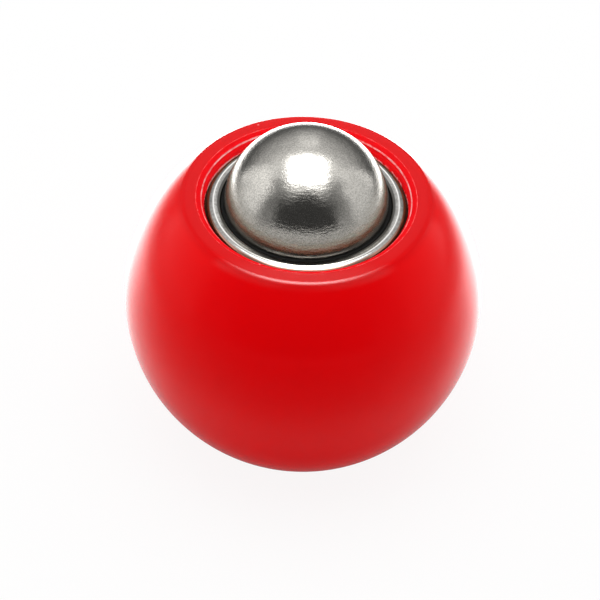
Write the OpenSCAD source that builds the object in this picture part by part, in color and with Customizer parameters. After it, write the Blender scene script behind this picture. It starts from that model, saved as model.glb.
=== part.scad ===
// Ball transfer unit in a moulded ball.
// A polished steel ball turns freely in a pressed cup, on rows of small support balls,
// and the cup is pressed into a plastic ball that stands on a flat with a threaded insert.
// Origin: centre of the standing flat. +Z: axis of the unit, towards the load ball.

/* [Moulded ball] */
// Diameter of the moulded ball that carries the unit
body_d = 50; // [47:0.5:70]
// Diameter of the flat that the moulded ball stands on
base_flat_d = 26; // [20:0.5:30]
// Diameter of the flat rim round the mouth
rim_d = 33; // [32.4:0.2:38]
// Radius of the soft edge between the rim and the ball
rim_round = 1.1; // [0.3:0.1:1.4]
// Radius of the soft edge round the standing flat
base_round = 0.8; // [0.2:0.1:2]
// Width of the bevel at the mouth
bevel_w = 0.65; // [0.2:0.05:0.9]
// Depth of the bevel at the mouth
bevel_h = 0.35; // [0.2:0.05:0.8]
// Width of the steeper flare between the bevel and the bore
flare_w = 0.4; // [0.1:0.05:0.6]
// Depth of that flare
flare_h = 0.6; // [0.3:0.05:1]

/* [Load ball] */
// Diameter of the load ball
ball_d = 22.225; // [20:0.005:22.6]
// Height of the load ball above the rim
ball_rise = 9.2; // [8.4:0.1:9.8]

/* [Support balls] */
// Diameter of one support ball
small_d = 1.5875; // [1:0.0125:1.7]
// Free space round each support ball
rolling_gap = 0.02; // [0.01:0.005:0.04]

/* [Raceway bowl] */
// Wall of the hardened bowl that the support balls run in
raceway_wall = 0.36; // [0.3:0.02:0.6]

/* [Pressed cup] */
// Thickness of the sheet
sheet = 0.5; // [0.3:0.02:0.56]
// Outer radius of the rolled edge
roll_r = 1.25; // [0.9:0.05:1.4]
// Slope of the rim that follows the roll, down towards the ball
roll_tilt = 10; // [4:1:30]
// Depth of the roll's crest below the moulded rim
crest_drop = 1; // [0.5:0.05:1.2]
// Gap between the sheet's edge and the load ball
edge_gap = 0.36; // [0.3:0.02:0.5]

/* [Wiper and guard] */
// Thickness of the wiper's seat
wiper_t = 0.7; // [0.4:0.05:0.9]
// Height of the wiper's lip above its seat
lip_h = 0.45; // [0.3:0.05:0.6]
// Gap between the wiper's lip and the load ball
lip_gap = 0.02; // [0.01:0.005:0.06]
// Thickness of the guard washer over the support balls
guard_t = 0.45; // [0.3:0.05:0.6]
// Gap between the guard washer and the load ball
guard_gap = 0.25; // [0.1:0.05:0.4]

/* [Threaded insert] */
// Distance across the flats of the brass insert
insert_af = 13; // [12:0.5:17]
// Length of the insert
insert_l = 14; // [12.5:0.5:18]
// Depth of the insert's face below the standing flat
insert_recess = 0.2; // [0.1:0.05:0.6]
// Diameter of the locking groove turned in the insert
groove_d = 11; // [10.8:0.1:11.8]
// Width of the locking groove
groove_w = 2.4; // [1:0.2:4]
// Core diameter of the thread
thread_core_d = 8.5; // [6.6:0.1:8.8]
// Depth of the threaded hole, without its pointed end
thread_l = 11; // [8:0.5:11.4]
// Width of the bevel at the thread's mouth
thread_bevel = 0.9; // [0.3:0.1:1]

/* [Fits] */
// Gap between pieces that are pressed or laid together
fit_gap = 0.04; // [0.03:0.005:0.06]

/* [Hidden] */
ball_r = ball_d / 2;
small_r = small_d / 2;
body_r = body_d / 2;

// heights, from the standing flat
centre_z = sqrt(pow(body_r, 2) - pow(base_flat_d / 2, 2));
rim_z = centre_z + sqrt(pow(body_r, 2) - pow(rim_d / 2, 2));
ball_z = rim_z + ball_rise - ball_r;

// radii of the nested bowls, from the load ball outwards
orbit_r = ball_r + rolling_gap + small_r;
raceway_in = orbit_r + small_r + rolling_gap;
raceway_out = raceway_in + raceway_wall;
cup_in = raceway_out + fit_gap;
cup_out = cup_in + sheet;
bore_r = cup_out + fit_gap;
mouth_r = bore_r + flare_w;

// rolled edge of the cup
roll_x = cup_out - roll_r;
crest_z = rim_z - crest_drop;
roll_z = crest_z - roll_r;
edge_r = ball_r + edge_gap;
half_sheet = sheet / 2;
mid_roll = roll_r - half_sheet;
slope_l = (roll_x - sin(roll_tilt) * mid_roll - half_sheet - edge_r) / cos(roll_tilt);
edge_z = roll_z + cos(roll_tilt) * mid_roll - sin(roll_tilt) * slope_l;

// wiper and guard, stacked under the sheet's edge
wiper_top = edge_z - half_sheet - fit_gap;
wiper_z = wiper_top - wiper_t;
guard_z = wiper_z - fit_gap - guard_t;
raceway_top = guard_z - fit_gap;
wiper_r = under_roll_r(wiper_top);
guard_r = under_roll_r(guard_z + guard_t);

// Widest radius that fits inside the cup, up to height z, also where the wall rolls inwards
function under_roll_r(z) =
    roll_x + sqrt(pow(roll_r - sheet - fit_gap, 2) - pow(max(0, z - roll_z), 2));

// rows of support balls, spread evenly from the bottom of the bowl to the guard
top_angle = acos((ball_z - raceway_top + small_r + rolling_gap) / orbit_r);
pitch_min = 2 * asin((small_r + rolling_gap) / orbit_r);
row_count = floor(top_angle / pitch_min);
pitch = top_angle / row_count;
row_names = [for (i = [1:row_count]) str("support_row_", i)];

// threaded insert
insert_r = insert_af / 2 / cos(30);
groove_z = insert_recess + (insert_l - groove_w) / 2;
thread_r = thread_core_d / 2;
drill_tip = thread_r / tan(59);

round_fn = 96;
small_fn = 24;
over = 1;

// Half outline of a ball, cut flat at height h and rounded with radius r where the flat begins.
// Drawn with the ball's centre at the origin, on the side of positive x.
module rounded_cap_outline(ball, h, r) {
    edge_x = sqrt(pow(ball - r, 2) - pow(h - r, 2));
    touch = [edge_x, h - r] * ball / (ball - r);
    union() {
        intersection() {
            circle(ball, $fn = round_fn);
            translate([0, -ball]) square([ball, ball + touch.y]);
        }
        polygon([[0, 0], touch, [edge_x, h - r], [edge_x, h], [0, h]]);
        translate([edge_x, h - r])
            intersection() {
                circle(r, $fn = small_fn);
                polygon([[0, 0], 2 * touch, [0, 2 * ball]]);
            }
    }
}

// Half outline of the whole moulded ball, rounded at the rim above and at the flat below
module moulded_outline() {
    translate([0, centre_z])
        intersection() {
            rounded_cap_outline(body_r, rim_z - centre_z, rim_round);
            mirror([0, 1]) rounded_cap_outline(body_r, centre_z, base_round);
        }
}

// Space of the hexagonal insert, grown on all sides
module insert_blank(grow) {
    difference() {
        translate([0, 0, insert_recess - grow])
            cylinder(r = insert_r + grow / cos(30), h = insert_l + 2 * grow, $fn = 6);
        translate([0, 0, groove_z + grow])
            difference() {
                cylinder(r = insert_r + over, h = groove_w - 2 * grow, $fn = round_fn);
                translate([0, 0, -over])
                    cylinder(d = groove_d + 2 * grow, h = groove_w + 2 * over, $fn = round_fn);
            }
    }
}

module moulded_ball() {
    color([0.85, 0.03, 0.04])
        difference() {
            rotate_extrude($fn = round_fn) moulded_outline();
            // seat of the cup, its mouth, the flare and the bevel
            translate([0, 0, ball_z]) sphere(bore_r, $fn = round_fn);
            translate([0, 0, ball_z]) cylinder(r = bore_r, h = rim_z - ball_z + over, $fn = round_fn);
            translate([0, 0, rim_z - bevel_h - flare_h])
                cylinder(r1 = bore_r, r2 = mouth_r, h = flare_h, $fn = round_fn);
            translate([0, 0, rim_z - bevel_h])
                cylinder(
                    r1 = mouth_r,
                    r2 = mouth_r + bevel_w * (bevel_h + over) / bevel_h,
                    h = bevel_h + over,
                    $fn = round_fn
                );
            // pocket of the insert, open below
            insert_blank(fit_gap);
            translate([0, 0, -over])
                cylinder(r = insert_r + fit_gap / cos(30), h = over + insert_recess, $fn = 6);
        }
}

module threaded_insert() {
    color([0.78, 0.62, 0.3])
        difference() {
            insert_blank(0);
            translate([0, 0, insert_recess - over])
                cylinder(r = thread_r, h = thread_l + over, $fn = round_fn);
            translate([0, 0, insert_recess + thread_l])
                cylinder(r1 = thread_r, r2 = 0, h = drill_tip, $fn = round_fn);
            translate([0, 0, insert_recess - over])
                cylinder(
                    r1 = thread_r + thread_bevel + over,
                    r2 = thread_r,
                    h = thread_bevel + over,
                    $fn = round_fn
                );
        }
}

// Section of the sheet where it leaves the straight wall, rolls over and slopes to its edge
module rolled_edge_outline() {
    translate([roll_x, roll_z]) {
        intersection() {
            difference() {
                circle(roll_r, $fn = round_fn);
                circle(roll_r - sheet, $fn = round_fn);
            }
            polygon([
                [0, 0],
                [2 * roll_r, 0],
                [2 * roll_r, 2 * roll_r],
                2 * roll_r * [-sin(roll_tilt), cos(roll_tilt)]
            ]);
        }
        rotate(90 + roll_tilt) {
            translate([roll_r - sheet, 0]) square([sheet, slope_l]);
            translate([mid_roll, slope_l]) circle(half_sheet, $fn = small_fn);
        }
    }
}

// Half outline of a round-bottomed cup with radius r and straight walls up to height top
module cup_outline(r, top) {
    intersection() {
        union() {
            circle(r, $fn = round_fn);
            square([r, r]);
        }
        translate([0, -r]) square([r, r + top]);
    }
}

module pressed_cup() {
    color([0.72, 0.71, 0.69])
        rotate_extrude($fn = round_fn)
            union() {
                rolled_edge_outline();
                translate([0, ball_z])
                    difference() {
                        cup_outline(cup_out, roll_z - ball_z);
                        cup_outline(cup_in, roll_z - ball_z + over);
                    }
            }
}

module raceway_bowl() {
    color([0.6, 0.6, 0.62])
        difference() {
            translate([0, 0, ball_z]) sphere(raceway_out, $fn = round_fn);
            translate([0, 0, ball_z]) sphere(raceway_in, $fn = round_fn);
            translate([0, 0, raceway_top]) cylinder(r = cup_out, h = 2 * cup_out, $fn = round_fn);
        }
}

module guard_washer() {
    color([0.66, 0.66, 0.67])
        difference() {
            translate([0, 0, guard_z]) cylinder(r = guard_r, h = guard_t, $fn = round_fn);
            translate([0, 0, guard_z - over])
                cylinder(r = ball_r + guard_gap, h = guard_t + 2 * over, $fn = round_fn);
        }
}

// Seat under the rolled edge and a lip that fills the gap between the edge and the ball
module wiper_ring() {
    color([0.05, 0.05, 0.05])
        difference() {
            union() {
                translate([0, 0, wiper_z]) cylinder(r = wiper_r, h = wiper_t, $fn = round_fn);
                translate([0, 0, wiper_z])
                    cylinder(r = edge_r - fit_gap, h = wiper_t + lip_h, $fn = round_fn);
            }
            translate([0, 0, ball_z]) sphere(ball_r + lip_gap, $fn = round_fn);
        }
}

// The load ball, its poles on the level axis that it rolls about
module load_ball() {
    color([0.7, 0.69, 0.66])
        translate([0, 0, ball_z]) rotate([0, 90, 0]) sphere(ball_r, $fn = round_fn);
}

module support_ball() {
    sphere(small_r, $fn = small_fn);
}

module support_ball_bottom() {
    color([0.8, 0.8, 0.82]) translate([0, 0, ball_z - orbit_r]) support_ball();
}

// One row of support balls at an angle from the bottom of the bowl, as many as it holds
module support_row(index) {
    row_r = orbit_r * sin(index * pitch);
    row_z = ball_z - orbit_r * cos(index * pitch);
    count = floor(180 / asin((small_r + rolling_gap) / row_r));
    color([0.8, 0.8, 0.82])
        for (k = [0:count - 1])
            rotate(360 * (k + index % 2 / 2) / count)
                translate([row_r, 0, row_z]) support_ball();
}

moulded_ball();
threaded_insert();
pressed_cup();
raceway_bowl();
guard_washer();
wiper_ring();
load_ball();
support_ball_bottom();
for (i = [1:row_count]) support_row(i);
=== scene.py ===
from math import asin, cos, degrees, pi, radians, sin, sqrt, tan

import bpy
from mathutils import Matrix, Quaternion, Vector


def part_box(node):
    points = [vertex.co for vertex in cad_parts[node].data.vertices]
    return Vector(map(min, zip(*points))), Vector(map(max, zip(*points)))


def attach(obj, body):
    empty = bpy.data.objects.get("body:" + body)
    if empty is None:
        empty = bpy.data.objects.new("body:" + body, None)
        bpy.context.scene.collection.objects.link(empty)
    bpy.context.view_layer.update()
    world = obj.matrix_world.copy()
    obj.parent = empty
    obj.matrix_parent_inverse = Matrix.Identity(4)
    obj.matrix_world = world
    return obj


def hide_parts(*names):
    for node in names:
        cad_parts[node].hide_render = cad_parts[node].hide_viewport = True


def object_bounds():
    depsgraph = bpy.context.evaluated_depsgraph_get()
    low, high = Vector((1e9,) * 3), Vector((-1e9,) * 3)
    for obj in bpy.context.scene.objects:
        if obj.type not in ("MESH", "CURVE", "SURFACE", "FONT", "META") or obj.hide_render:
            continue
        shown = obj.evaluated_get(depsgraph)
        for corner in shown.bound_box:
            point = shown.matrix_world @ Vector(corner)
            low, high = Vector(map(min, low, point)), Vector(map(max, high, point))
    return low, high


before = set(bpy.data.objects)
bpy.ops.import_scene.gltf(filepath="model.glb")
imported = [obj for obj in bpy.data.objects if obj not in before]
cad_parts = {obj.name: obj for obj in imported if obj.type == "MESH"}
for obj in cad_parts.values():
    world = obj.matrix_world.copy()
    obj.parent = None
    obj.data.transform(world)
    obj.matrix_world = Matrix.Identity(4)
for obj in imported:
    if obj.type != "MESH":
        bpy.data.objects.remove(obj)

mm = 0.001
cadLow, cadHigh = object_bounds()

# everything is round about the Z axis, so heights and radii are enough
ballLow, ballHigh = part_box("load_ball")
bodyLow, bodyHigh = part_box("moulded_ball")
cupLow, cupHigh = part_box("pressed_cup")
wiperLow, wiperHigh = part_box("wiper_ring")
insertLow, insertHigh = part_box("threaded_insert")

ballR = (ballHigh.z - ballLow.z) / 2
ballZ = (ballHigh.z + ballLow.z) / 2
bodyR = (bodyHigh.y - bodyLow.y) / 2
rimZ = bodyHigh.z
cupR = (cupHigh.y - cupLow.y) / 2
crestZ = cupHigh.z
print("frame read: load ball radius", round(ballR / mm, 3), "mm")


def startFresh(active=None):
    if bpy.context.object and bpy.context.object.mode != "OBJECT":
        bpy.ops.object.mode_set(mode="OBJECT")
    bpy.ops.object.select_all(action="DESELECT")
    if active:
        active.select_set(True)
        bpy.context.view_layer.objects.active = active


def arcPoints(centreX, centreZ, radius, start, end, steps):
    # angles in degrees, 0 pointing outwards and 90 up
    points = []
    for k in range(steps + 1):
        turn = radians(start + (end - start) * k / steps)
        points.append((centreX + radius * cos(turn), centreZ + radius * sin(turn)))
    return points


def softCorner(before, corner, after, radius, steps):
    # an arc in place of a corner, touching both of its sides
    corner = Vector(corner)
    one = (Vector(before) - corner).normalized()
    two = (Vector(after) - corner).normalized()
    half = one.angle(two) / 2
    centre = corner + (one + two).normalized() * (radius / sin(half))
    start = corner + one * (radius / tan(half)) - centre
    end = corner + two * (radius / tan(half)) - centre
    return [tuple(centre + start.slerp(end, k / steps) * radius) for k in range(steps + 1)]


def drawOutline(name, points):
    # one vertex, extruded from point to point in the XZ plane
    startFresh()
    bpy.ops.mesh.primitive_plane_add(size=mm, location=(0, 0, 0))
    piece = bpy.context.object
    piece.name = name
    bpy.ops.object.mode_set(mode="EDIT")
    bpy.ops.mesh.select_all(action="SELECT")
    bpy.ops.mesh.merge(type="CENTER")
    bpy.ops.transform.translate(value=(points[0][0], 0, points[0][1]))
    for before, after in zip(points, points[1:]):
        step = (after[0] - before[0], 0, after[1] - before[1])
        bpy.ops.mesh.extrude_region_move(TRANSFORM_OT_translate={"value": step})
    return piece


def spinOutline(steps):
    # once about the Z axis, then the seam and the poles are closed
    bpy.ops.mesh.select_all(action="SELECT")
    bpy.ops.mesh.spin(steps=steps, angle=2 * pi, center=(0, 0, 0), axis=(0, 0, 1))
    bpy.ops.mesh.select_all(action="SELECT")
    bpy.ops.mesh.remove_doubles(threshold=0.001 * mm)
    bpy.ops.mesh.normals_make_consistent(inside=False)
    bpy.ops.object.mode_set(mode="OBJECT")


def closeRing(points, steps, name):
    # a closed outline that doesn't reach the axis
    piece = drawOutline(name, points + [points[0]])
    spinOutline(steps)
    return piece


def shadeSmooth(piece, angle):
    startFresh(piece)
    bpy.ops.object.shade_smooth_by_angle(angle=radians(angle))


def applyModifier(piece, kind, **values):
    startFresh(piece)
    bpy.ops.object.modifier_add(type=kind)
    modifier = piece.modifiers[-1]
    for key, value in values.items():
        setattr(modifier, key, value)
    bpy.ops.object.modifier_apply(modifier=modifier.name)


def cutAway(piece, cutter):
    applyModifier(piece, "BOOLEAN", operation="DIFFERENCE", object=cutter, solver="EXACT")
    bpy.data.objects.remove(cutter)


def placeInMesh(piece):
    startFresh(piece)
    bpy.ops.object.transform_apply(location=True, rotation=True, scale=True)


def addCylinder(radius, low, high, sides, turn=0):
    startFresh()
    bpy.ops.mesh.primitive_cylinder_add(
        vertices=sides,
        radius=radius,
        depth=high - low,
        location=(0, 0, (low + high) / 2),
        rotation=(0, 0, radians(turn)),
    )
    placeInMesh(bpy.context.object)
    return bpy.context.object


def finishPiece(piece, body, slotName, material, smoothAngle, *stoodFor):
    piece.data.materials.clear()
    piece.data.materials.append(material)
    shadeSmooth(piece, smoothAngle)
    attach(piece, body)
    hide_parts(*stoodFor)
    print("made", piece.name, len(piece.data.polygons), "faces")


# shared effects, as groups that give masks and values that vary over a surface

def startGroup(name, inputs, outputs):
    group = bpy.data.node_groups.new(name, "ShaderNodeTree")
    for label, kind, value in inputs:
        socket = group.interface.new_socket(label, in_out="INPUT", socket_type=kind)
        if value is not None:
            socket.default_value = value
    for label, kind in outputs:
        group.interface.new_socket(label, in_out="OUTPUT", socket_type=kind)
    return group, group.nodes.new("NodeGroupInput"), group.nodes.new("NodeGroupOutput")


def addNode(tree, kind, **values):
    node = tree.nodes.new(kind)
    for key, value in values.items():
        setattr(node, key, value)
    return node


def addMath(tree, operation, first, second=None, clamp=False):
    node = addNode(tree, "ShaderNodeMath", operation=operation, use_clamp=clamp)
    for index, value in enumerate((first, second)):
        if value is None:
            continue
        if hasattr(value, "is_output"):
            tree.links.new(value, node.inputs[index])
        else:
            node.inputs[index].default_value = value
    return node.outputs[0]


def addRange(tree, value, fromLow, fromHigh, toLow, toHigh):
    node = addNode(tree, "ShaderNodeMapRange", clamp=True, interpolation_type="SMOOTHSTEP")
    tree.links.new(value, node.inputs["Value"])
    for label, number in zip(("From Min", "From Max", "To Min", "To Max"),
                             (fromLow, fromHigh, toLow, toHigh)):
        if hasattr(number, "is_output"):
            tree.links.new(number, node.inputs[label])
        else:
            node.inputs[label].default_value = number
    return node.outputs["Result"]


def makeGrainGroup():
    # fine even roughness with a slower drift on top, about 0.5 on average
    group, into, out = startGroup(
        "surfaceGrain",
        [("Vector", "NodeSocketVector", None),
         ("Scale", "NodeSocketFloat", 1000.0),
         ("Drift Scale", "NodeSocketFloat", 120.0),
         ("Drift", "NodeSocketFloat", 0.3)],
        [("Height", "NodeSocketFloat"), ("Cloud", "NodeSocketFloat")],
    )
    fine = addNode(group, "ShaderNodeTexNoise")
    fine.inputs["Detail"].default_value = 3.0
    fine.inputs["Roughness"].default_value = 0.6
    slow = addNode(group, "ShaderNodeTexNoise")
    slow.inputs["Detail"].default_value = 2.0
    group.links.new(into.outputs["Vector"], fine.inputs["Vector"])
    group.links.new(into.outputs["Vector"], slow.inputs["Vector"])
    group.links.new(into.outputs["Scale"], fine.inputs["Scale"])
    group.links.new(into.outputs["Drift Scale"], slow.inputs["Scale"])
    mix = addNode(group, "ShaderNodeMix", data_type="FLOAT")
    group.links.new(into.outputs["Drift"], mix.inputs[0])
    group.links.new(fine.outputs["Fac"], mix.inputs[2])
    group.links.new(slow.outputs["Fac"], mix.inputs[3])
    group.links.new(mix.outputs[0], out.inputs["Height"])
    group.links.new(slow.outputs["Fac"], out.inputs["Cloud"])
    return group


def makeSpeckGroup():
    # few small spots of uneven size, 1 in a spot and 0 elsewhere
    group, into, out = startGroup(
        "smallSpecks",
        [("Vector", "NodeSocketVector", None),
         ("Scale", "NodeSocketFloat", 600.0),
         ("Size", "NodeSocketFloat", 0.2),
         ("Share", "NodeSocketFloat", 0.1)],
        [("Mask", "NodeSocketFloat")],
    )
    cells = addNode(group, "ShaderNodeTexVoronoi", feature="F1")
    group.links.new(into.outputs["Vector"], cells.inputs["Vector"])
    group.links.new(into.outputs["Scale"], cells.inputs["Scale"])
    chance = addNode(group, "ShaderNodeSeparateColor")
    group.links.new(cells.outputs["Color"], chance.inputs["Color"])
    chosen = addMath(group, "LESS_THAN", chance.outputs["Red"], into.outputs["Share"])
    reach = addMath(group, "MULTIPLY", chance.outputs["Green"], into.outputs["Size"])
    soft = addRange(group, cells.outputs["Distance"], reach, 0.0, 0.0, 1.0)
    mask = addMath(group, "MULTIPLY", soft, chosen)
    group.links.new(mask, out.inputs["Mask"])
    return group


def makeRingGroup():
    # rings about the Z axis, as turning, rolling and pressing leave them
    group, into, out = startGroup(
        "turnedRings",
        [("Vector", "NodeSocketVector", None),
         ("Scale", "NodeSocketFloat", 2000.0),
         ("Unevenness", "NodeSocketFloat", 60.0)],
        [("Height", "NodeSocketFloat")],
    )
    parts = addNode(group, "ShaderNodeSeparateXYZ")
    group.links.new(into.outputs["Vector"], parts.inputs[0])
    xx = addMath(group, "MULTIPLY", parts.outputs["X"], parts.outputs["X"])
    yy = addMath(group, "MULTIPLY", parts.outputs["Y"], parts.outputs["Y"])
    radius = addMath(group, "SQRT", addMath(group, "ADD", xx, yy))
    join = addNode(group, "ShaderNodeCombineXYZ")
    group.links.new(addMath(group, "MULTIPLY", radius, into.outputs["Scale"]), join.inputs["X"])
    across = addMath(group, "MULTIPLY", parts.outputs["X"], into.outputs["Unevenness"])
    along = addMath(group, "MULTIPLY", parts.outputs["Y"], into.outputs["Unevenness"])
    group.links.new(addMath(group, "ADD", across, along), join.inputs["Y"])
    group.links.new(addMath(group, "MULTIPLY", parts.outputs["Z"], into.outputs["Scale"]), join.inputs["Z"])
    noise = addNode(group, "ShaderNodeTexNoise")
    noise.inputs["Scale"].default_value = 1.0
    noise.inputs["Detail"].default_value = 4.0
    group.links.new(join.outputs[0], noise.inputs["Vector"])
    group.links.new(noise.outputs["Fac"], out.inputs["Height"])
    return group


def makeNearAxisGroup():
    # 1 nearer to the Z axis than the reach, 0 beyond it
    group, into, out = startGroup(
        "nearAxis",
        [("Vector", "NodeSocketVector", None),
         ("Reach", "NodeSocketFloat", 0.01),
         ("Border", "NodeSocketFloat", 0.0001)],
        [("Mask", "NodeSocketFloat")],
    )
    flat = addNode(group, "ShaderNodeVectorMath", operation="MULTIPLY")
    flat.inputs[1].default_value = (1, 1, 0)
    group.links.new(into.outputs["Vector"], flat.inputs[0])
    length = addNode(group, "ShaderNodeVectorMath", operation="LENGTH")
    group.links.new(flat.outputs[0], length.inputs[0])
    beyond = addMath(group, "ADD", into.outputs["Reach"], into.outputs["Border"])
    mask = addRange(group, length.outputs["Value"], into.outputs["Reach"], beyond, 1.0, 0.0)
    group.links.new(mask, out.inputs["Mask"])
    return group


def makeWearAndHighlightGroup():
    # 1 along the outer edges of a piece, broken up by noise
    group, into, out = startGroup(
        "edgeWearAndHighlight",
        [("Vector", "NodeSocketVector", None),
         ("Radius", "NodeSocketFloat", 0.0002),
         ("Amount", "NodeSocketFloat", 0.5)],
        [("Mask", "NodeSocketFloat")],
    )
    rounded = addNode(group, "ShaderNodeBevel", samples=4)
    group.links.new(into.outputs["Radius"], rounded.inputs["Radius"])
    plain = addNode(group, "ShaderNodeNewGeometry")
    dot = addNode(group, "ShaderNodeVectorMath", operation="DOT_PRODUCT")
    group.links.new(rounded.outputs["Normal"], dot.inputs[0])
    group.links.new(plain.outputs["Normal"], dot.inputs[1])
    edge = addRange(group, dot.outputs["Value"], 0.997, 0.965, 0.0, 1.0)
    noise = addNode(group, "ShaderNodeTexNoise")
    noise.inputs["Scale"].default_value = 900.0
    group.links.new(into.outputs["Vector"], noise.inputs["Vector"])
    broken = addRange(group, noise.outputs["Fac"], 0.3, 0.65, 0.2, 1.0)
    mask = addMath(group, "MULTIPLY", edge, broken)
    group.links.new(addMath(group, "MULTIPLY", mask, into.outputs["Amount"], clamp=True),
                    out.inputs["Mask"])
    return group


surfaceGrain = makeGrainGroup()
smallSpecks = makeSpeckGroup()
turnedRings = makeRingGroup()
edgeWearAndHighlight = makeWearAndHighlightGroup()
nearAxis = makeNearAxisGroup()
print("shared effects ready")


def startMaterial(name, **sockets):
    material = bpy.data.materials.new(name)
    material.use_nodes = True
    tree = material.node_tree
    shader = tree.nodes["Principled BSDF"]
    for label, value in sockets.items():
        shader.inputs[label.replace("_", " ")].default_value = value
    place = addNode(tree, "ShaderNodeTexCoord")
    return material, tree, shader, place.outputs["Object"]


def useGroup(tree, group, vector, **values):
    node = addNode(tree, "ShaderNodeGroup", node_tree=group)
    tree.links.new(vector, node.inputs["Vector"])
    for label, value in values.items():
        node.inputs[label.replace("_", " ")].default_value = value
    return node


def mixColours(tree, factor, first, second, blend="MIX"):
    node = addNode(tree, "ShaderNodeMix", data_type="RGBA", blend_type=blend)
    for index, value in ((0, factor), (6, first), (7, second)):
        if hasattr(value, "is_output"):
            tree.links.new(value, node.inputs[index])
        elif index == 0:
            node.inputs[index].default_value = value
        else:
            node.inputs[index].default_value = (*value, 1)
    return node.outputs[2]


def addBump(tree, shader, heights):
    # heights: list of (height, distance, strength), laid over one another
    normal = None
    for height, distance, strength in heights:
        bump = addNode(tree, "ShaderNodeBump")
        bump.inputs["Distance"].default_value = distance
        bump.inputs["Strength"].default_value = strength
        tree.links.new(height, bump.inputs["Height"])
        if normal:
            tree.links.new(normal, bump.inputs["Normal"])
        normal = bump.outputs["Normal"]
    tree.links.new(normal, shader.inputs["Normal"])


redPlasticLook = {
    "colour": (0.93, 0.002, 0.004),
    "deeper": (0.87, 0.0015, 0.003),
    # darker red on the flat rim: painted shade, so that the upward-facing flat shows no brighter than the
    # body
    "rim": (0.70, 0.002, 0.004),
    "rimR": 16.5 * mm,                   # outer radius of the flat rim
    "rimFade": (-0.5 * mm, 1.6 * mm),    # from the rim's edge: start and width of the change
    "chipFade": (0.5 * mm, 0.6 * mm),
    "mouth": (0.86, 0.008, 0.012),       # the turned mouth, which has no gloss
    "mouthR": 14.75 * mm,
    "mouthFade": 0.1 * mm,
    # pale pink for wear, scuffs and chips, and for painted highlights along edges and the mouth line
    "wornAndHighlight": (0.95, 0.45, 0.45),
    "lineR": 14.02 * mm,                 # a thin pale line round the mouth: partly wear, partly a painted highlight of its edge
    "lineReach": (0.04 * mm, -0.08 * mm),
    "lineFade": 0.04 * mm,
    "lineShare": 0.9,
    "footLine": (38.50 * mm, 38.62 * mm),    # inside the mouth's radius, all below is scuffed
    "footShare": 0.8,
    "wallInMetal": (0.28, 0.12, 0.08),   # painted reflection of the wall where steel mirrors it, dark as painted shade of the bore
    # painted reflection of the rim and the top of the mouth, a pale grey
    "rimInMetal": (0.40, 0.36, 0.31),
    "wallTop": 0.7 * mm,                 # the wall starts this far below the rim
    "wallFade": 0.1 * mm,
    "frontRim": (-12 * mm, -15.5 * mm),  # where the gloss of the rim turns whiter towards the front: a painted highlight, set by place
    "roundTop": (-0.05 * mm, -0.01 * mm),    # from the rim down, the rounded edge
    "glossFade": (0.5 * mm, 1.1 * mm),   # outside the rim, where the gloss changes
    "gloss": 0.50,
    "glossTint": (1.0, 0.05, 0.05),
    "rimGlossTint": ((1.0, 0.03, 0.03), (1.0, 0.55, 0.55)),
    "roundGlossTint": (1.0, 1.0, 1.0),
    "roughness": (0.17, 0.22),
    "glow": 0.25,                        # light scattered inside the plastic
    "glowColours": (1.0, 0.08, 0.08),
    "glowReach": 1.2 * mm,
    "wearAndHighlightR": 0.18 * mm,
    "grainBump": 0.009 * mm,
    "speckBump": 0.01 * mm,
}


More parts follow.
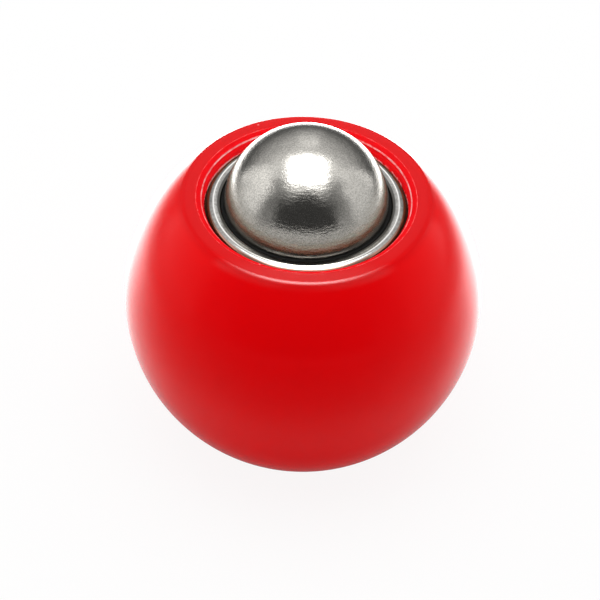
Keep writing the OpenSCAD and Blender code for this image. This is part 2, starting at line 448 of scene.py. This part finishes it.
def makeRedPlastic(v):
    material, tree, shader, place = startMaterial(
        "redPlastic", IOR=1.5, Subsurface_Weight=v["glow"], Subsurface_Radius=v["glowColours"],
        Subsurface_Scale=v["glowReach"])
    grain = useGroup(tree, surfaceGrain, place, Scale=2600.0, Drift_Scale=90.0, Drift=0.35)
    specks = useGroup(tree, smallSpecks, place, Scale=420.0, Size=0.16, Share=0.05)
    wearAndHighlight = useGroup(tree, edgeWearAndHighlight, place, Radius=v["wearAndHighlightR"], Amount=0.8)
    parts = addNode(tree, "ShaderNodeSeparateXYZ")
    tree.links.new(place, parts.inputs[0])

    # body, flat rim and mouth
    colour = mixColours(tree, grain.outputs["Cloud"], v["colour"], v["deeper"])
    flat = useGroup(tree, nearAxis, place, Reach=v["rimR"] + v["rimFade"][0], Border=v["rimFade"][1])
    # the flat rim gets a darker red: painted shade against the light falling on it from above
    colour = mixColours(tree, flat.outputs["Mask"], colour, v["rim"])
    rim = useGroup(tree, nearAxis, place, Reach=v["rimR"] + v["chipFade"][0], Border=v["chipFade"][1])
    inside = useGroup(tree, nearAxis, place, Reach=v["mouthR"], Border=v["mouthFade"])
    colour = mixColours(tree, inside.outputs["Mask"], colour, v["mouth"])

    # pale edges and a pale line round the mouth, partly wear and partly painted highlights of those edges;
    # scuffs and chips, all broken up
    breaks = useGroup(tree, surfaceGrain, place, Scale=1500.0, Drift_Scale=300.0, Drift=0.4)
    broken = addRange(tree, breaks.outputs["Height"], 0.42, 0.58, 0.35, 1.0)
    colour = mixColours(tree, addMath(tree, "MULTIPLY", wearAndHighlight.outputs["Mask"], broken),
                        colour, v["wornAndHighlight"])
    outer, inner = [
        useGroup(tree, nearAxis, place, Reach=v["lineR"] + reach, Border=v["lineFade"])
        for reach in v["lineReach"]
    ]
    line = addMath(tree, "SUBTRACT", outer.outputs["Mask"], inner.outputs["Mask"])
    line = addMath(tree, "MULTIPLY", addMath(tree, "MULTIPLY", line, broken), v["lineShare"])
    colour = mixColours(tree, line, colour, v["wornAndHighlight"])
    foot = addRange(tree, parts.outputs["Z"], *v["footLine"], 1.0, 0.0)
    foot = addMath(tree, "MULTIPLY", foot, inside.outputs["Mask"])
    scuffs = addRange(tree, breaks.outputs["Height"], 0.44, 0.54, 0.0, v["footShare"])
    colour = mixColours(tree, addMath(tree, "MULTIPLY", foot, scuffs), colour, v["wornAndHighlight"])
    chips = useGroup(tree, smallSpecks, place, Scale=700.0, Size=0.2, Share=0.06)
    colour = mixColours(tree, addMath(tree, "MULTIPLY", chips.outputs["Mask"], rim.outputs["Mask"]),
                        colour, v["wornAndHighlight"])

    # gloss: none in the mouth, whiter on the front of the rim and its rounded edge, a painted highlight set
    # by place
    flatPlace = addNode(tree, "ShaderNodeVectorMath", operation="MULTIPLY")
    flatPlace.inputs[1].default_value = (1.0, 1.0, 0.0)
    tree.links.new(place, flatPlace.inputs[0])
    reach = addNode(tree, "ShaderNodeVectorMath", operation="LENGTH")
    tree.links.new(flatPlace.outputs[0], reach.inputs[0])
    fromAxis = reach.outputs["Value"]
    gloss = addRange(tree, fromAxis, v["mouthR"], v["mouthR"] + v["mouthFade"], 0.0, v["gloss"])
    tree.links.new(gloss, shader.inputs["Specular IOR Level"])
    front = addRange(tree, parts.outputs["Y"], *v["frontRim"], 0.0, 1.0)
    tint = mixColours(tree, front, *v["rimGlossTint"])
    below = addRange(tree, parts.outputs["Z"], rimZ + v["roundTop"][0], rimZ + v["roundTop"][1],
                     1.0, 0.0)
    tint = mixColours(tree, addMath(tree, "MULTIPLY", front, below), tint, v["roundGlossTint"])
    onRim = addRange(tree, fromAxis, v["rimR"] + v["glossFade"][0], v["rimR"] + v["glossFade"][1],
                     1.0, 0.0)
    tint = mixColours(tree, onRim, v["glossTint"], tint)
    tree.links.new(tint, shader.inputs["Specular Tint"])

    # painted reflection: the colours that metal mirrors, pale on the rim and dark brown on the wall as
    # painted shade of the bore
    wallTop = rimZ - v["wallTop"]
    aboveWall = addRange(tree, parts.outputs["Z"], wallTop - v["wallFade"], wallTop + v["wallFade"],
                         0.0, 1.0)
    mirrored = mixColours(tree, aboveWall, v["wallInMetal"], v["rimInMetal"])
    path = addNode(tree, "ShaderNodeLightPath")
    colour = mixColours(tree, path.outputs["Is Glossy Ray"], colour, mirrored)
    tree.links.new(colour, shader.inputs["Base Color"])
    rough = addRange(tree, grain.outputs["Cloud"], 0.3, 0.7, *v["roughness"])
    tree.links.new(rough, shader.inputs["Roughness"])
    addBump(tree, shader, [(grain.outputs["Height"], v["grainBump"], 0.7),
                           (specks.outputs["Mask"], v["speckBump"], 0.3)])
    return material


ballSteelLook = {
    "colour": (0.70, 0.675, 0.625),
    "dull": (0.48, 0.465, 0.43),
    "spot": (0.36, 0.35, 0.32),
    "onMatt": (0.95, 0.95, 0.95),    # the light it throws on matt surfaces
    "roughness": (0.11, 0.16),
    "ripple": (900, 900, 3200),      # short marks lying round the ball
    "rippleBump": 0.05 * mm,
    "grainBump": 0.03 * mm,
    "pitBump": -0.006 * mm,
}


def makeBallSteel(v):
    material, tree, shader, place = startMaterial("ballSteel", Metallic=1.0)
    grain = useGroup(tree, surfaceGrain, place, Scale=5200.0, Drift_Scale=700.0, Drift=0.2)
    specks = useGroup(tree, smallSpecks, place, Scale=900.0, Size=0.3, Share=0.12)
    stretched = addNode(tree, "ShaderNodeVectorMath", operation="MULTIPLY")
    stretched.inputs[1].default_value = v["ripple"]
    tree.links.new(place, stretched.inputs[0])
    ripple = useGroup(tree, surfaceGrain, stretched.outputs[0], Scale=1.0, Drift_Scale=0.3, Drift=0.2)
    tone = addRange(tree, grain.outputs["Height"], 0.36, 0.64, 0.0, 1.0)
    colour = mixColours(tree, tone, v["colour"], v["dull"])
    colour = mixColours(tree, addMath(tree, "MULTIPLY", specks.outputs["Mask"], 0.5),
                        colour, v["spot"])
    path = addNode(tree, "ShaderNodeLightPath")
    colour = mixColours(tree, path.outputs["Is Diffuse Ray"], colour, v["onMatt"])
    tree.links.new(colour, shader.inputs["Base Color"])
    rough = addRange(tree, grain.outputs["Height"], 0.36, 0.64, *v["roughness"])
    tree.links.new(rough, shader.inputs["Roughness"])
    addBump(tree, shader, [(ripple.outputs["Height"], v["rippleBump"], 0.7),
                           (grain.outputs["Height"], v["grainBump"], 0.7),
                           (specks.outputs["Mask"], v["pitBump"], 0.4)])
    return material


cupSteelLook = {
    "colour": (0.57, 0.56, 0.535),
    "dull": (0.38, 0.37, 0.35),
    "polished": (0.95, 0.94, 0.91),      # painted highlight along the crest of the rolled edge
    "crestR": 12.40 * mm,
    "crestHalf": 0.10 * mm,
    "crestFade": 0.08 * mm,
    "redReflection": (0.46, 0.25, 0.19),       # painted reflection of the red plastic on its outer slope
    "redReflectionR": 12.88 * mm,
    "creaseShade": (0.06, 0.04, 0.03),        # painted shade in the crease where it meets the plastic
    "creaseR": 13.2 * mm,
    "outerFade": 0.12 * mm,
    "cutEdge": (0.16, 0.155, 0.145),     # the sheared edge next to the ball
    "edgeR": 11.86 * mm,
    "edgeFade": 0.08 * mm,
    "rimInMetal": (0.14, 0.11, 0.09),    # painted reflection, dark as painted shade, as the ball mirrors the rim and its edge
    "edgeInMetal": (0.10, 0.095, 0.09),
    "onMatt": (0.95, 0.95, 0.95),        # the light it throws on matt surfaces
    "roughness": (0.05, 0.10),
    "ringBump": 0.014 * mm,
    "grainBump": 0.012 * mm,
}


def makeCupSteel(v):
    material, tree, shader, place = startMaterial("cupSteel", Metallic=1.0)
    rings = useGroup(tree, turnedRings, place, Scale=3000.0, Unevenness=120.0)
    grain = useGroup(tree, surfaceGrain, place, Scale=2200.0, Drift_Scale=700.0, Drift=0.4)
    tone = addRange(tree, grain.outputs["Height"], 0.36, 0.64, 0.0, 1.0)
    colour = mixColours(tree, tone, v["colour"], v["dull"])
    outer, inner = [
        useGroup(tree, nearAxis, place, Reach=v["crestR"] + half, Border=v["crestFade"])
        for half in (v["crestHalf"], -v["crestHalf"])
    ]
    crest = addMath(tree, "SUBTRACT", outer.outputs["Mask"], inner.outputs["Mask"])
    colour = mixColours(tree, crest, colour, v["polished"])
    # beyond these radii: a painted reflection of the red plastic on the outer slope, then painted shade in
    # the crease
    for reach, beyond in ((v["redReflectionR"], v["redReflection"]), (v["creaseR"], v["creaseShade"])):
        within = useGroup(tree, nearAxis, place, Reach=reach, Border=v["outerFade"])
        colour = mixColours(tree, within.outputs["Mask"], beyond, colour)
    inside = useGroup(tree, nearAxis, place, Reach=v["edgeR"], Border=v["edgeFade"])
    colour = mixColours(tree, inside.outputs["Mask"], colour, v["cutEdge"])
    mirrored = mixColours(tree, inside.outputs["Mask"], v["rimInMetal"], v["edgeInMetal"])
    path = addNode(tree, "ShaderNodeLightPath")
    colour = mixColours(tree, path.outputs["Is Glossy Ray"], colour, mirrored)
    colour = mixColours(tree, path.outputs["Is Diffuse Ray"], colour, v["onMatt"])
    tree.links.new(colour, shader.inputs["Base Color"])
    rough = addRange(tree, grain.outputs["Cloud"], 0.35, 0.65, *v["roughness"])
    tree.links.new(rough, shader.inputs["Roughness"])
    addBump(tree, shader, [(rings.outputs["Height"], v["ringBump"], 0.8),
                           (grain.outputs["Height"], v["grainBump"], 0.7)])
    return material


hardSteelLook = {
    "racewaySteel": {
        "colour": (0.46, 0.455, 0.45),
        "darker": (0.36, 0.355, 0.35),
        "roughness": (0.22, 0.34),
    },
    "supportSteel": {
        "colour": (0.68, 0.68, 0.69),
        "darker": (0.60, 0.60, 0.61),
        "roughness": (0.08, 0.14),
    },
}


def makeHardSteel(name, v):
    material, tree, shader, place = startMaterial(name, Metallic=1.0)
    grain = useGroup(tree, surfaceGrain, place, Scale=2400.0, Drift_Scale=300.0, Drift=0.4)
    colour = mixColours(tree, grain.outputs["Cloud"], v["colour"], v["darker"])
    tree.links.new(colour, shader.inputs["Base Color"])
    rough = addRange(tree, grain.outputs["Height"], 0.35, 0.65, *v["roughness"])
    tree.links.new(rough, shader.inputs["Roughness"])
    addBump(tree, shader, [(grain.outputs["Height"], 0.003 * mm, 0.4)])
    return material


wiperBlackLook = {
    "colour": (0.003, 0.003, 0.003),
    "dusty": (0.008, 0.008, 0.007),
    "roughness": (0.5, 0.65),
}


def makeWiperBlack(v):
    material, tree, shader, place = startMaterial("wiperBlack", IOR=1.45, Specular_IOR_Level=0.1)
    grain = useGroup(tree, surfaceGrain, place, Scale=1700.0, Drift_Scale=300.0, Drift=0.5)
    colour = mixColours(tree, grain.outputs["Height"], v["colour"], v["dusty"])
    tree.links.new(colour, shader.inputs["Base Color"])
    rough = addRange(tree, grain.outputs["Cloud"], 0.3, 0.7, *v["roughness"])
    tree.links.new(rough, shader.inputs["Roughness"])
    addBump(tree, shader, [(grain.outputs["Height"], 0.01 * mm, 0.4)])
    return material


insertBrassLook = {
    "colour": (0.78, 0.53, 0.20),
    "darker": (0.60, 0.38, 0.13),
    "wornAndHighlight": (0.92, 0.72, 0.38),
    "roughness": (0.2, 0.36),
}


def makeInsertBrass(v):
    material, tree, shader, place = startMaterial("insertBrass", Metallic=1.0)
    rings = useGroup(tree, turnedRings, place, Scale=3400.0, Unevenness=40.0)
    grain = useGroup(tree, surfaceGrain, place, Scale=1500.0, Drift_Scale=240.0, Drift=0.6)
    wearAndHighlight = useGroup(tree, edgeWearAndHighlight, place, Radius=0.00015, Amount=0.8)
    colour = mixColours(tree, grain.outputs["Cloud"], v["colour"], v["darker"])
    colour = mixColours(tree, wearAndHighlight.outputs["Mask"], colour, v["wornAndHighlight"])
    tree.links.new(colour, shader.inputs["Base Color"])
    rough = addRange(tree, rings.outputs["Height"], 0.35, 0.65, *v["roughness"])
    tree.links.new(rough, shader.inputs["Roughness"])
    addBump(tree, shader, [(rings.outputs["Height"], 0.01 * mm, 0.5)])
    return material


redPlastic = makeRedPlastic(redPlasticLook)
ballSteel = makeBallSteel(ballSteelLook)
cupSteel = makeCupSteel(cupSteelLook)
racewaySteel = makeHardSteel("racewaySteel", hardSteelLook["racewaySteel"])
supportSteel = makeHardSteel("supportSteel", hardSteelLook["supportSteel"])
wiperBlack = makeWiperBlack(wiperBlackLook)
insertBrass = makeInsertBrass(insertBrassLook)
print("materials ready")


def capEdge(height, soft):
    # where the ball meets a soft edge at a flat: radius of the edge's centre and angle of the touch
    edgeX = sqrt((bodyR - soft) ** 2 - (height - soft) ** 2)
    return edgeX, degrees(asin((height - soft) / (bodyR - soft)))


mouldedBall = {
    "rimR": 16.5 * mm,       # outer radius of the flat rim
    "rimRound": 1.1 * mm,
    "baseRound": 0.8 * mm,
    "boreGap": 0.04 * mm,    # between the cup and its seat
    "flareW": 0.4 * mm,
    "flareH": 0.6 * mm,
    "bevelW": 0.65 * mm,
    "bevelH": 0.35 * mm,
    "edgeSoft": 0.08 * mm,   # radius of the edges of the bevel
    "flareSoft": 0.5 * mm,
    "pocketGap": 0.04 * mm,
    "steps": 320,
}


def makeMouldedBall(v):
    boreR = cupR + v["boreGap"]
    centreZ = rimZ - sqrt(bodyR ** 2 - v["rimR"] ** 2)
    rimX, rimTouch = capEdge(rimZ - centreZ, v["rimRound"])
    baseX, baseTouch = capEdge(centreZ, v["baseRound"])
    wall = (boreR, ballZ - 2 * mm)
    flare = (boreR, rimZ - v["bevelH"] - v["flareH"])
    mouth = (boreR + v["flareW"], rimZ - v["bevelH"])
    top = (boreR + v["flareW"] + v["bevelW"], rimZ)
    points = arcPoints(0, ballZ, boreR, -90, 0, 18)[:-1]
    points += softCorner(wall, flare, mouth, v["flareSoft"], 3)
    points += softCorner(flare, mouth, top, v["edgeSoft"], 4)
    points += softCorner(mouth, top, (rimX, rimZ), v["edgeSoft"], 4)
    points += arcPoints(rimX, rimZ - v["rimRound"], v["rimRound"], 90, rimTouch, 10)
    points += arcPoints(0, centreZ, bodyR, rimTouch, -baseTouch, 84)[1:]
    points += arcPoints(baseX, v["baseRound"], v["baseRound"], -baseTouch, -90, 8)[1:]
    points += [(0, 0)]
    ball = drawOutline("mouldedBall", points)
    spinOutline(v["steps"])
    pocketR = insertHigh.x + v["pocketGap"] / cos(radians(30))
    pocketTop = insertHigh.z + v["pocketGap"]
    cutAway(ball, addCylinder(pocketR, -1 * mm, pocketTop, 6, turn=30))
    finishPiece(ball, "housing", "red_plastic", redPlastic, 32, "moulded_ball")


makeMouldedBall(mouldedBall)


rolledCup = {
    "sheet": 0.5 * mm,
    "rollR": 1.25 * mm,
    "tilt": 10,              # slope of the rim, down towards the ball
    "edgeGap": 0.36 * mm,
    "steps": 256,
}


def makeRolledCup(v):
    half = v["sheet"] / 2
    rollX = cupR - v["rollR"]
    rollZ = crestZ - v["rollR"]
    middle = v["rollR"] - half
    slope = radians(v["tilt"])
    run = (rollX - sin(slope) * middle - half - ballR - v["edgeGap"]) / cos(slope)
    end = 90 + v["tilt"]
    edgeX = rollX - sin(slope) * middle - cos(slope) * run
    edgeZ = rollZ + cos(slope) * middle - sin(slope) * run
    points = arcPoints(0, ballZ, cupR, -90, 0, 24)
    points += arcPoints(rollX, rollZ, v["rollR"], 0, end, 22)
    points += arcPoints(edgeX, edgeZ, half, end, end + 180, 8)
    points += arcPoints(rollX, rollZ, v["rollR"] - v["sheet"], end, 0, 14)
    points += arcPoints(0, ballZ, cupR - v["sheet"], 0, -90, 24)
    cup = drawOutline("rolledCup", points)
    spinOutline(v["steps"])
    finishPiece(cup, "housing", "cup_steel", cupSteel, 40, "pressed_cup")


makeRolledCup(rolledCup)


wiperRing = {
    "seat": 0.7 * mm,        # thickness of the seat under the rolled edge
    "lipGap": 0.02 * mm,
    "lipClear": 0.04 * mm,   # between the lip and the sheet's edge
    "lipRound": 0.12 * mm,
    "steps": 200,
}


def makeWiperRing(v):
    outerR = (wiperHigh.y - wiperLow.y) / 2
    lipR = ballR + rolledCup["edgeGap"] - v["lipClear"]
    low, seatTop, top = wiperLow.z, wiperLow.z + v["seat"], wiperHigh.z
    hollow = ballR + v["lipGap"]
    innerLow = sqrt(hollow ** 2 - (low - ballZ) ** 2)
    innerTop = sqrt(hollow ** 2 - (top - ballZ) ** 2)
    points = [(innerLow, low), (outerR, low), (outerR, seatTop), (lipR, seatTop)]
    crown = min(v["lipRound"], (lipR - innerTop) * 0.4)
    points += softCorner((lipR, seatTop), (lipR, top), (innerTop, top), crown, 4)
    lowAngle = degrees(asin((low - ballZ) / hollow))
    topAngle = degrees(asin((top - ballZ) / hollow))
    points += arcPoints(0, ballZ, hollow, topAngle, lowAngle, 8)[:-1]
    ring = closeRing(points, v["steps"], "wiperRing")
    finishPiece(ring, "housing", "wiper_black", wiperBlack, 35, "wiper_ring")


makeWiperRing(wiperRing)


loadBall = {
    "cuts": 71,              # a cube with its faces cut this often, blown up to a ball
}


def makeLoadBall(v):
    startFresh()
    bpy.ops.mesh.primitive_cube_add(size=2 * ballR, location=(0, 0, ballZ))
    ball = bpy.context.object
    ball.name = "loadBall"
    placeInMesh(ball)
    centre = (0, 0, ballZ)
    bpy.ops.object.mode_set(mode="EDIT")
    bpy.ops.mesh.select_all(action="SELECT")
    bpy.ops.mesh.subdivide(number_cuts=v["cuts"])
    bpy.ops.transform.tosphere(value=1)
    bpy.ops.object.mode_set(mode="OBJECT")
    reach = max((vertex.co - Vector(centre)).length for vertex in ball.data.vertices)
    bpy.ops.object.mode_set(mode="EDIT")
    bpy.ops.mesh.select_all(action="SELECT")
    share = ballR / reach
    bpy.ops.transform.resize(value=(share, share, share), center_override=centre)
    bpy.ops.mesh.normals_make_consistent(inside=False)
    bpy.ops.object.mode_set(mode="OBJECT")
    finishPiece(ball, "load_ball", "ball_steel", ballSteel, 60, "load_ball")


makeLoadBall(loadBall)


threadedInsert = {
    "grooveR": 5.5 * mm,
    "grooveW": 2.4 * mm,
    "coreR": 4.25 * mm,
    "depth": 11 * mm,
    "threadL": 10.1 * mm,
    "majorR": 5.0 * mm,
    "pitch": 1.5 * mm,
    "bevel": 0.9 * mm,
    "cornerBevel": 0.25 * mm,
}


def makeInsertBody(v):
    # hexagon, a round waist and a second hexagon above it
    low, high = insertLow.z, insertHigh.z
    middle = (low + high) / 2
    body = addCylinder(insertHigh.x, low, high, 6, turn=30)
    body.name = "threadedInsert"
    applyModifier(body, "BEVEL", width=v["cornerBevel"], segments=2, limit_method="ANGLE",
                  angle_limit=radians(50))
    half = v["grooveW"] / 2
    outer = insertHigh.x * 1.2
    square = [(v["grooveR"], middle - half), (outer, middle - half),
              (outer, middle + half), (v["grooveR"], middle + half)]
    cutAway(body, closeRing(square, 72, "waist"))
    return body


def makeThreadCutter(v):
    # a profile of one pitch, screwed upwards, then cut level at both ends
    core = v["coreR"] - 0.12 * mm
    pitch = v["pitch"]
    low = insertLow.z - 2.5 * pitch
    profile = [(core, low), (core, low + 0.18 * pitch), (v["majorR"], low + 0.53 * pitch),
               (v["majorR"], low + 0.65 * pitch), (core, low + pitch)]
    cutter = drawOutline("threadCutter", profile)
    applyModifier(cutter, "SCREW", angle=2 * pi, screw_offset=pitch, iterations=12, steps=72,
                  render_steps=72, use_merge_vertices=True, merge_threshold=0.001 * mm)
    startFresh(cutter)
    bpy.ops.object.mode_set(mode="EDIT")
    for height, side in ((insertLow.z - 0.6 * mm, -1), (insertLow.z + v["threadL"], 1)):
        bpy.ops.mesh.select_all(action="SELECT")
        bpy.ops.mesh.bisect(plane_co=(0, 0, height), plane_no=(0, 0, side),
                            use_fill=True, clear_outer=True)
    bpy.ops.mesh.select_all(action="SELECT")
    bpy.ops.mesh.remove_doubles(threshold=0.0005 * mm)
    bpy.ops.mesh.normals_make_consistent(inside=False)
    bpy.ops.object.mode_set(mode="OBJECT")
    return cutter


def makeThreadedInsert(v):
    body = makeInsertBody(v)
    low = insertLow.z
    drill = [(0, low - 0.8 * mm), (v["coreR"] + v["bevel"] + 0.8 * mm, low - 0.8 * mm),
             (v["coreR"], low + v["bevel"]), (v["coreR"], low + v["depth"]),
             (0, low + v["depth"] + v["coreR"] / tan(radians(59)))]
    bore = drawOutline("drilledHole", drill)
    spinOutline(72)
    cutAway(body, bore)
    cutAway(body, makeThreadCutter(v))
    finishPiece(body, "housing", "insert_brass", insertBrass, 28, "threaded_insert")


makeThreadedInsert(threadedInsert)


def dressCadNode(name, material):
    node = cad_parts[name]
    for index in range(len(node.material_slots)):
        node.material_slots[index].material = material


dressCadNode("raceway_bowl", racewaySteel)
dressCadNode("guard_washer", racewaySteel)
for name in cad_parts:
    if name.startswith("support_"):
        dressCadNode(name, supportSteel)
print("CAD pieces dressed")


# studio: pale floor, a soft panel overhead and one at each side, and cards that only gloss shows

studio = {
    "floorColour": (0.94, 0.94, 0.94),
    "floorMirrored": (0.60, 0.59, 0.575),
    "shadeMirrored": (0.08, 0.08, 0.08),     # close round the foot of the unit
    "shadeReach": (20 * mm, 26 * mm),        # radius and width of its border
    "backMirrored": (0.17, 0.17, 0.17),      # far behind it
    "backFade": (130 * mm, 200 * mm),
    "floorWhite": 0.90,      # share of plain white that the camera sees in the floor
    "floorLift": 0.5,        # bounce near the unit
    "liftReach": (22 * mm, 40 * mm),
    "skyFill": 0.84,         # what the world adds to matt surfaces
    "distance": 0.55,        # metres from the load ball to the panels and cards
    "closer": {"overheadLamp": 0.9, "footCard": 0.9},    # these two stand nearer
    "panels": {
        # direction from the ball in degrees: round from the camera, up; size across and up
        # light at the lower and the upper edge; softness of the edges; seen by matt surfaces
        "overheadPanel": (180, 87, 54, 48, 3.0, 2.8, 0.12, True),
        "leftPanel": (-94, 20, 44, 54, 0.84, 1.26, 0.18, True),
        "rightPanel": (92, 20, 50, 54, 0.72, 0.86, 0.18, True),
        "leftGapCard": (-58, 52, 50, 22, 0.18, 0.60, 0.25, False),
        "rightGapCard": (58, 52, 50, 22, 0.18, 0.60, 0.25, False),
        "cameraCard": (0, 32, 96, 60, 0.05, 0.05, 0.07, True),
        "footCard": (-1, 8, 104, 10, 0.05, 0.05, 0.07, False),
        "cameraLeftCard": (-58, 20, 34, 72, 0.28, 0.18, 0.35, False),
        "cameraRightCard": (58, 20, 34, 72, 0.38, 0.18, 0.35, False),
        "backLeftCard": (-150, 26, 60, 76, 0.01, 0.90, 0.10, False),
        "backRightCard": (151, 26, 60, 76, 0.01, 0.85, 0.10, False),
        "backCard": (180, 22, 22, 60, 0.05, 1.15, 0.16, False),
        "overheadLamp": (180, 88, 46, 42, 12.0, 12.0, 0.40, False),
    },
}


def makePanelMaterial(name, lowLight, highLight, soft):
    # light that runs from the lower to the upper edge, and lets through what is behind its borders
    material = bpy.data.materials.new(name)
    material.use_nodes = True
    tree = material.node_tree
    tree.nodes.clear()
    out = addNode(tree, "ShaderNodeOutputMaterial")
    place = addNode(tree, "ShaderNodeUVMap")
    parts = addNode(tree, "ShaderNodeSeparateXYZ")
    tree.links.new(place.outputs["UV"], parts.inputs[0])
    glow = addNode(tree, "ShaderNodeEmission")
    light = addRange(tree, parts.outputs["Y"], 0.0, 1.0, lowLight, highLight)
    tree.links.new(light, glow.inputs["Strength"])
    clear = addNode(tree, "ShaderNodeBsdfTransparent")
    sides = []
    for axis in ("X", "Y"):
        fromMiddle = addMath(tree, "ABSOLUTE", addMath(tree, "SUBTRACT", parts.outputs[axis], 0.5))
        sides.append(addRange(tree, fromMiddle, 0.5 - soft, 0.5, 1.0, 0.0))
    share = addMath(tree, "MULTIPLY", sides[0], sides[1])
    mix = addNode(tree, "ShaderNodeMixShader")
    tree.links.new(share, mix.inputs[0])
    tree.links.new(clear.outputs[0], mix.inputs[1])
    tree.links.new(glow.outputs[0], mix.inputs[2])
    tree.links.new(mix.outputs[0], out.inputs["Surface"])
    return material


def addPanel(name, around, up, across, tall, lowLight, highLight, soft, onMatt):
    centre = Vector((0, 0, ballZ))
    turn, lift = radians(around), radians(up)
    direction = Vector((sin(turn) * cos(lift), -cos(turn) * cos(lift), sin(lift)))
    distance = studio["distance"] * studio["closer"].get(name, 1)
    startFresh()
    bpy.ops.mesh.primitive_plane_add(size=1, location=centre + direction * distance)
    panel = bpy.context.object
    panel.name = name
    panel.scale = (2 * distance * tan(radians(across / 2)), 2 * distance * tan(radians(tall / 2)), 1)
    panel.rotation_euler = (radians(90 + up), 0, turn + pi)
    panel.data.materials.append(makePanelMaterial(name, lowLight, highLight, soft))
    panel.visible_camera = False
    panel.visible_shadow = False
    panel.visible_diffuse = onMatt


for name, values in studio["panels"].items():
    addPanel(name, *values)


tableGlow = {
    # height above the floor, middle (behind the unit), depth and width
    # light at the near and the far edge; softness of the edges
    "tableGlow": (0.2 * mm, 75 * mm, 210 * mm, 360 * mm, 2.5, 5.4, 0.4),
    "nearGlow": (0.4 * mm, 66 * mm, 116 * mm, 250 * mm, 7.2, 7.2, 0.5),
}


def makeTableGlow(name, height, middle, deep, across, nearLight, farLight, soft):
    # part of the bright table behind the unit, which only glossy surfaces show
    startFresh()
    bpy.ops.mesh.primitive_plane_add(size=1, location=(0, middle, cadLow.z + height))
    glow = bpy.context.object
    glow.name = name
    glow.scale = (across, deep, 1)
    glow.data.materials.append(makePanelMaterial(name, nearLight, farLight, soft))
    glow.visible_camera = False
    glow.visible_diffuse = False
    glow.visible_shadow = False


for name, values in tableGlow.items():
    makeTableGlow(name, *values)


def makeFloor(v):
    startFresh()
    bpy.ops.mesh.primitive_plane_add(size=6, location=(0, 0, cadLow.z - 0.01 * mm))
    floor = bpy.context.object
    floor.name = "studioFloor"
    material, tree, shader, place = startMaterial("studioFloor", Roughness=0.9)
    shader.inputs["Specular IOR Level"].default_value = 0.0
    white = addNode(tree, "ShaderNodeEmission")
    path = addNode(tree, "ShaderNodeLightPath")
    near = useGroup(tree, nearAxis, place, Reach=v["shadeReach"][0], Border=v["shadeReach"][1])
    mirrored = mixColours(tree, near.outputs["Mask"], v["floorMirrored"], v["shadeMirrored"])
    parts = addNode(tree, "ShaderNodeSeparateXYZ")
    tree.links.new(place, parts.inputs[0])
    behind = addRange(tree, parts.outputs["Y"], *v["backFade"], 0.0, 1.0)
    mirrored = mixColours(tree, behind, mirrored, v["backMirrored"])
    colour = mixColours(tree, path.outputs["Is Glossy Ray"], v["floorColour"], mirrored)
    tree.links.new(colour, shader.inputs["Base Color"])
    share = addMath(tree, "MULTIPLY", path.outputs["Is Camera Ray"], v["floorWhite"])
    under = useGroup(tree, nearAxis, place, Reach=v["liftReach"][0], Border=v["liftReach"][1])
    lift = addMath(tree, "MULTIPLY", under.outputs["Mask"], v["floorLift"])
    lift = addMath(tree, "MULTIPLY", path.outputs["Is Diffuse Ray"], lift)
    share = addMath(tree, "MAXIMUM", share, lift)
    mix = addNode(tree, "ShaderNodeMixShader")
    tree.links.new(share, mix.inputs[0])
    tree.links.new(shader.outputs[0], mix.inputs[1])
    tree.links.new(white.outputs[0], mix.inputs[2])
    tree.links.new(mix.outputs[0], tree.nodes["Material Output"].inputs["Surface"])
    floor.data.materials.append(material)


makeFloor(studio)
print("floor and panels ready")


def makeWorld(v):
    world = bpy.data.worlds.new("studioWorld")
    bpy.context.scene.world = world
    world.use_nodes = True
    tree = world.node_tree
    sky = tree.nodes["Background"]
    sky.inputs["Color"].default_value = (1, 1, 1, 1)
    path = addNode(tree, "ShaderNodeLightPath")
    seen = addMath(tree, "MAXIMUM", path.outputs["Is Camera Ray"], path.outputs["Is Glossy Ray"])
    seen = addMath(tree, "MAXIMUM", seen, path.outputs["Is Transmission Ray"])
    strength = addRange(tree, seen, 0.0, 1.0, v["skyFill"], 1.0)
    tree.links.new(strength, sky.inputs["Strength"])


makeWorld(studio)
print("world ready")


camera = {
    "distance": 225 * mm,
    "elevation": 45.46,
    "lens": 95.46,
    "roll": 2.1,
    "aim": (-0.40 * mm, -0.83 * mm),   # right and up of the moulded ball's centre
}


def makeCamera(v):
    startFresh()
    centre = Vector((0, 0, rimZ - sqrt(bodyR ** 2 - mouldedBall["rimR"] ** 2)))
    lift = radians(v["elevation"])
    back = Vector((0, -cos(lift), sin(lift)))
    level = (-back).to_track_quat("-Z", "Y") @ Quaternion((0, 0, 1), radians(v["roll"]))
    place = centre + back * v["distance"]
    target = centre + level @ Vector((v["aim"][0], v["aim"][1], 0))
    turned = (target - place).to_track_quat("-Z", "Y") @ Quaternion((0, 0, 1), radians(v["roll"]))
    bpy.ops.object.camera_add(location=place)
    eye = bpy.context.object
    eye.rotation_mode = "QUATERNION"
    eye.rotation_quaternion = turned
    eye.data.lens = v["lens"]
    eye.data.sensor_width = 36
    eye.data.clip_start = 0.01
    eye.data.clip_end = 20
    bpy.context.scene.camera = eye


makeCamera(camera)
print("camera ready")
bpy.context.scene.view_settings.view_transform = "Standard"
